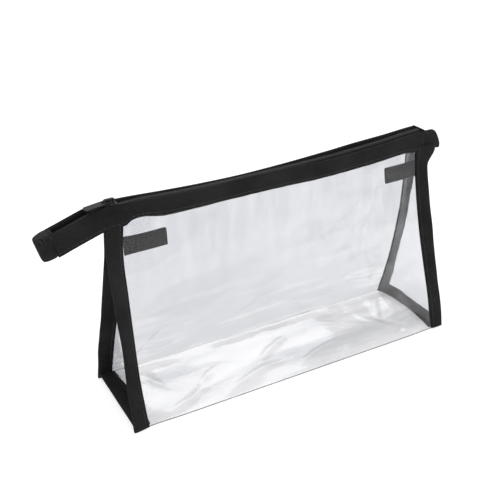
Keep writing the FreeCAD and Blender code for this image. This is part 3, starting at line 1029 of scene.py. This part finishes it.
class BAG_OT_chain(bpy.types.Operator):
    """Make the nylon coils of the chain"""
    bl_idname = "bag.chain"
    bl_label = "Chain"

    def execute(self, context):
        for side_name, side in SIDES.items():
            for span in SPANS:
                places = stations(span)
                piece = tube(f"{side_name}_coil_{span}", coil_rings(side, places[0], places[-1]))
                finish_length(piece, "coil", side_name, span, coil_material())
        return {"FINISHED"}


# ---- end caps ----------------------------------------------------------------------------
def cap_ring(x, half_y, low, high, round_by, shift_y=0.0):
    """Rounded box section of a cap at x on the straight zip."""
    ring = []
    for k, (sy, sz) in enumerate([(-1, -1), (1, -1), (1, 1), (-1, 1)]):
        for m in range(4):
            a = math.radians(180 + 90 * k + 30 * m)
            y = shift_y + sy * (half_y - round_by) + round_by * math.cos(a)
            z = (high if sz > 0 else low) - sz * round_by + round_by * math.sin(a)
            ring.append(Vector((x, zip_y(x) + y, z)))
    return ring


CAP_FACES = ((15, 0), (7, 8))  # the points where that section's front and rear faces end
LEFT_CAP_LENGTH = 11.1 * MM
# Sections of the left cap, as (share of its length, share of its width, growth in height in mm).
LEFT_CAP = [(0.0, 1.0, 0.0), (0.04, 1.06, 0.35), (0.14, 1.06, 0.4), (0.20, 0.96, 0.05), (0.26, 1.06, 0.4),
            (0.55, 1.02, 0.5), (0.85, 0.86, 0.3), (0.96, 0.62, 0.0), (1.0, 0.36, -0.6)]
RIGHT_CAP = [0.0, 0.03, 0.07, 0.1, 0.13, 0.17, 0.22, 0.3, 0.42, 0.55, 0.66, 0.76, 0.86, 0.95, 1.0]
LEFT_GROOVE, RIGHT_GROOVE = 3, 2  # the sections where the caps' seams run


def left_cap():
    """Tape folded over the tail's end: mouth, sewn groove, flat body and shut tip."""
    mouth = stations("tail")[0] + 2.5 * MM
    half_y = abs(wall_top(FRONT, mouth) - zip_y(mouth)) - 0.2 * MM
    rings = []
    for t, wide, tall in LEFT_CAP:
        grow, wobble = tall * MM, 0.35 * MM * t
        ring = cap_ring(mouth - LEFT_CAP_LENGTH * t, half_y * wide, HEM_LOW - 0.8 * MM - grow,
                        HEM_HIGH + 0.5 * MM + grow, 0.9 * MM)
        rings.append([on_tail(p.x, p.y + wobble * wave(p.z / MM, 4, t * 9, 5), p.z) for p in ring])
    return rings


def right_cap():
    """Tape folded over the short end, closing to the front into a flap that slopes to its tip."""
    mouth = SEAM + 5.2 * MM
    open_y, shut_y = abs(wall_top(FRONT, mouth) - zip_y(mouth)) + 1.0 * MM, 1.4 * MM
    rings = []
    for k, t in enumerate(RIGHT_CAP):
        shut = smooth((t - 0.05) / 0.13)
        half_y = open_y + (shut_y - open_y) * shut
        groove_in = 0.3 * MM if k == RIGHT_GROOVE else 0.0
        slope = max(0.0, (t - 0.54) / 0.46) ** 1.7
        high = HEM_HIGH - 0.7 * MM - 1.6 * MM * shut - 11.6 * MM * slope - groove_in
        low = HEM_LOW - 1.0 * MM - 3.4 * MM * smooth(t)
        rings.append(cap_ring(mouth + (RIGHT_TIP - mouth) * t, half_y - groove_in, low, high, 0.7 * MM,
                              half_y - open_y))
    return rings


class BAG_OT_caps(bpy.types.Operator):
    """Make the tape caps on both ends of the zip"""
    bl_idname = "bag.caps"
    bl_label = "Caps"

    def execute(self, context):
        for name, rings, body in (("tail_cap", left_cap(), "tail"), ("right_cap", right_cap(), "shell")):
            along = [abs(ring[0].x - rings[0][0].x) for ring in rings]
            piece = tube(f"{name}_tape", rings, strip_uv(rings, along))
            round_off = piece.modifiers.new("round", "SUBSURF")
            round_off.levels = round_off.render_levels = 2
            apply_modifiers(piece)
            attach(finish_piece(piece, binding_material(), [name]), body)
        return {"FINISHED"}


# ---- stitching ---------------------------------------------------------------------------
def along_path(path, distance):
    """Point of a polyline at a distance from its start."""
    for a, b in zip(path, path[1:]):
        step = (b - a).length
        if distance <= step:
            return a.lerp(b, distance / step)
        distance -= step
    return path[-1]


STITCH_SHAPE = ((0.0, 0.35), (0.14, 0.85), (0.5, 1.0), (0.86, 0.85), (1.0, 0.35))
THREAD_RADIUS, THREAD_SIDES = 0.2 * MM, 6


def sewn(name, paths, follow):
    """Rows of lockstitch along paths, as one piece; follow makes it move with what it is sewn to."""
    verts, faces = [], []
    for path in paths:
        total = distances(path)[-1]
        count = max(1, int(total / sizes().stitch))
        for i in range(count):
            start, end = (along_path(path, total * (i + part) / count) for part in (0.08, 0.92))
            ahead = (end - start).normalized()
            across = ahead.cross(Vector((0.31, 0.87, 0.39))).normalized()
            other = ahead.cross(across)
            sides, rows = skin(THREAD_SIDES, len(STITCH_SHAPE), len(verts))
            faces += sides + [rows[0][::-1], rows[-1]]
            for t, wide in STITCH_SHAPE:
                verts += circle(start.lerp(end, t), across, other, THREAD_RADIUS * wide, THREAD_SIDES)
    piece = new_piece(name, verts, faces)
    face_outward(piece)
    finish_piece(piece, thread_material())
    follow(piece)


def ride_on(body):
    return lambda piece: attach(piece, body)


def hem_seam(side, x):
    """The place on a hem's outside leg where its seam runs."""
    top, foot = hem_top(side, x), leg_foot(side, x)
    return [(-1.15 * sizes().tape, foot + 0.14 * (top - foot))]


def fin_rows(rings):
    """The seam groove on both faces of a folded tape."""
    return [[ring[k] for ring in rings] for k in (FIN_GROOVE, -1 - FIN_GROOVE)]


class BAG_OT_stitches(bpy.types.Operator):
    """Sew the hems, the bindings and the caps"""
    bl_idname = "bag.stitches"
    bl_label = "Stitches"

    def execute(self, context):
        for side_name, side in SIDES.items():
            for span in SPANS:
                path = [zip_ring(side, x, hem_seam)[0] for x in stations(span)]
                sewn(f"{side_name}_hem_stitches_{span}", [path],
                     lambda piece, side_name=side_name, span=span: hold(piece, side_name, span))
        for end_name, end in ENDS.items():
            for side_name, side in SIDES.items():
                rows = fin_rows(side_fin(side, end)[0])
                sewn(f"{side_name}_{end_name}_seam_stitches", rows, ride_on("shell"))
            sewn(f"{end_name}_base_stitches", fin_rows(base_fin(end)[0]), ride_on("shell"))
        grooves = (("tail", left_cap()[LEFT_GROOVE], "tail"), ("right", right_cap()[RIGHT_GROOVE], "shell"))
        for name, ring, body in grooves:
            sewn(f"{name}_cap_stitches", [[ring[a], ring[b]] for a, b in CAP_FACES], ride_on(body))
        return {"FINISHED"}


# ---- grip loops --------------------------------------------------------------------------
LOOP_STATIONS = [0, 0.04, 0.1, 0.2, 0.3, 0.4, 0.5, 0.6, 0.7, 0.8, 0.88, 0.94, 0.98, 1.0]
LOOP_EDGE = 0.7 * MM
LOOP_GAP = 0.9 * MM  # between the film and the loop's front face


def loop_rings(end_name):
    """Webbing folded double: sections along the loop, widest where it is sewn in."""
    end = ENDS[end_name]
    box_low, box_high = LOOP_BOX[end_name]
    root, tip = (box_low.x, box_high.x) if end == LEFT else (box_high.x, box_low.x)
    root += end * 3.2 * MM
    tip += 0.1 * MM if end == RIGHT else -2.4 * MM
    middle = (box_low.z + box_high.z) / 2
    rings, along = [], []
    for t in LOOP_STATIONS:
        x = root + (tip - root) * t
        sag = 0.6 * MM * math.sin(math.pi * t) + 1.2 * MM * t
        low = box_low.z - (1.2 * MM * (1 - t) ** 4 - 0.8 * MM) - sag
        high = box_high.z - sag
        bulge = (1.5 + 1.3 * smooth(t * 1.4)) * MM * (1 if t < 0.95 else 0.9 if t < 1 else 0.6)
        section = [(low, 0.25), (low + LOOP_EDGE, 0.0), (middle, 0.0), (high - LOOP_EDGE, 0.0),
                   (high, 0.25), (high, 0.75), (high - LOOP_EDGE, 1.0), (middle, 1.05),
                   (low + LOOP_EDGE, 1.0), (low, 0.75)]
        rings.append([Vector((x, inward(FRONT, x, z, sizes().film + LOOP_GAP) + tuck * bulge, z))
                      for z, tuck in section])
        along.append(abs(x - root))
    return rings, along


class BAG_OT_loops(bpy.types.Operator):
    """Make the two grip loops inside the bag"""
    bl_idname = "bag.loops"
    bl_label = "Grip loops"

    def execute(self, context):
        for end_name, end in ENDS.items():
            rings, along = loop_rings(end_name)
            piece = tube(f"{end_name}_grip_loop_webbing", rings, strip_uv(rings, along))
            finish_piece(piece, webbing_material(), [f"{end_name}_grip_loop"])
            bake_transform(piece)
        return {"FINISHED"}


# ---- slider ------------------------------------------------------------------------------
class BAG_OT_slider(bpy.types.Operator):
    """Finish the slider, its bridge and the pull"""
    bl_idname = "bag.slider"
    bl_label = "Slider"

    def execute(self, context):
        for name in ("slider_body", "slider_bridge", "pull_tab"):
            node = frame["nodes"][name]
            node.data.materials.clear()
            node.data.materials.append(enamel_material())
        return {"FINISHED"}


# ---- stage -------------------------------------------------------------------------------
def aimed(obj, spot, target, roll=0.0):
    track = (Vector(target) - Vector(spot)).to_track_quat("-Z", "Y")
    obj.rotation_mode = "QUATERNION"
    obj.location = spot
    obj.rotation_quaternion = track @ Quaternion((0, 0, 1), roll)
    bpy.context.scene.collection.objects.link(obj)
    return obj


def softbox(name, spot, target, width, height, power):
    light = bpy.data.lights.new(name, "AREA")
    light.shape = "RECTANGLE"
    light.size, light.size_y = width, height
    light.energy = power
    aimed(bpy.data.objects.new(name, light), spot, target)


class BAG_OT_stage(bpy.types.Operator):
    """Make the floor, the lights and the camera"""
    bl_idname = "bag.stage"
    bl_label = "Stage"

    def execute(self, context):
        scene = context.scene
        scene.view_settings.view_transform = "Standard"
        corners = [(-3, -3, 0), (3, -3, 0), (3, 3, 0), (-3, 3, 0)]
        floor = new_piece("floor", corners, [(0, 1, 2, 3)])
        floor.data.materials.append(floor_material())
        world = bpy.data.worlds.new("studio")
        world.use_nodes = True
        background = world.node_tree.nodes["Background"]
        Nodes(world.node_tree).fill(background, {"Color": (1, 1, 1, 1), "Strength": 0.85})
        scene.world = world
        target = (-0.0241, 0.0, 0.0857)
        softbox("key", (-0.5, -0.7, 1.1), target, 0.8, 0.5, 7.0)
        softbox("fill", (0.9, -0.6, 0.7), target, 0.5, 0.8, 4.0)
        softbox("back", (0.2, 1.1, 0.9), target, 1.2, 0.5, 6.0)
        lens = bpy.data.cameras.new("camera")
        lens.lens, lens.sensor_width, lens.clip_start = 57.3, 36.0, 0.01
        azimuth, elevation, distance = math.radians(-29.8), math.radians(28.3), 0.5041
        away = Vector((math.sin(azimuth) * math.cos(elevation), -math.cos(azimuth) * math.cos(elevation),
                       math.sin(elevation)))
        camera = bpy.data.objects.new("camera", lens)
        aimed(camera, Vector(target) + away * distance, target, math.radians(0.64))
        scene.camera = camera
        return {"FINISHED"}


# ---- panel and registration --------------------------------------------------------------
OPERATORS = [BAG_OT_film, BAG_OT_bindings, BAG_OT_hems, BAG_OT_zip_tapes, BAG_OT_chain, BAG_OT_caps,
             BAG_OT_stitches, BAG_OT_loops, BAG_OT_slider, BAG_OT_stage]


class BAG_PT_panel(bpy.types.Panel):
    """Sizes, colours and makers of the bag"""
    bl_idname = "BAG_PT_panel"
    bl_label = "Makeup bag"
    bl_space_type = "VIEW_3D"
    bl_region_type = "UI"
    bl_category = "Bag"

    def draw(self, context):
        for group in (context.scene.bag_sizes, context.scene.bag_colours):
            for key in group.bl_rna.properties.keys():
                if key not in ("rna_type", "name"):
                    self.layout.prop(group, key)
        for operator in OPERATORS:
            self.layout.operator(operator.bl_idname)


CLASSES = [BagSizes, BagColours, *OPERATORS, BAG_PT_panel]


def register():
    for cls in CLASSES:
        bpy.utils.register_class(cls)
    bpy.types.Scene.bag_sizes = PointerProperty(type=BagSizes)
    bpy.types.Scene.bag_colours = PointerProperty(type=BagColours)


def unregister():
    del bpy.types.Scene.bag_colours
    del bpy.types.Scene.bag_sizes
    for cls in reversed(CLASSES):
        bpy.utils.unregister_class(cls)


def main():
    register()
    for operator in OPERATORS:
        group, name = operator.bl_idname.split(".")
        getattr(getattr(bpy.ops, group), name)()


if __name__ == "__main__":
    main()
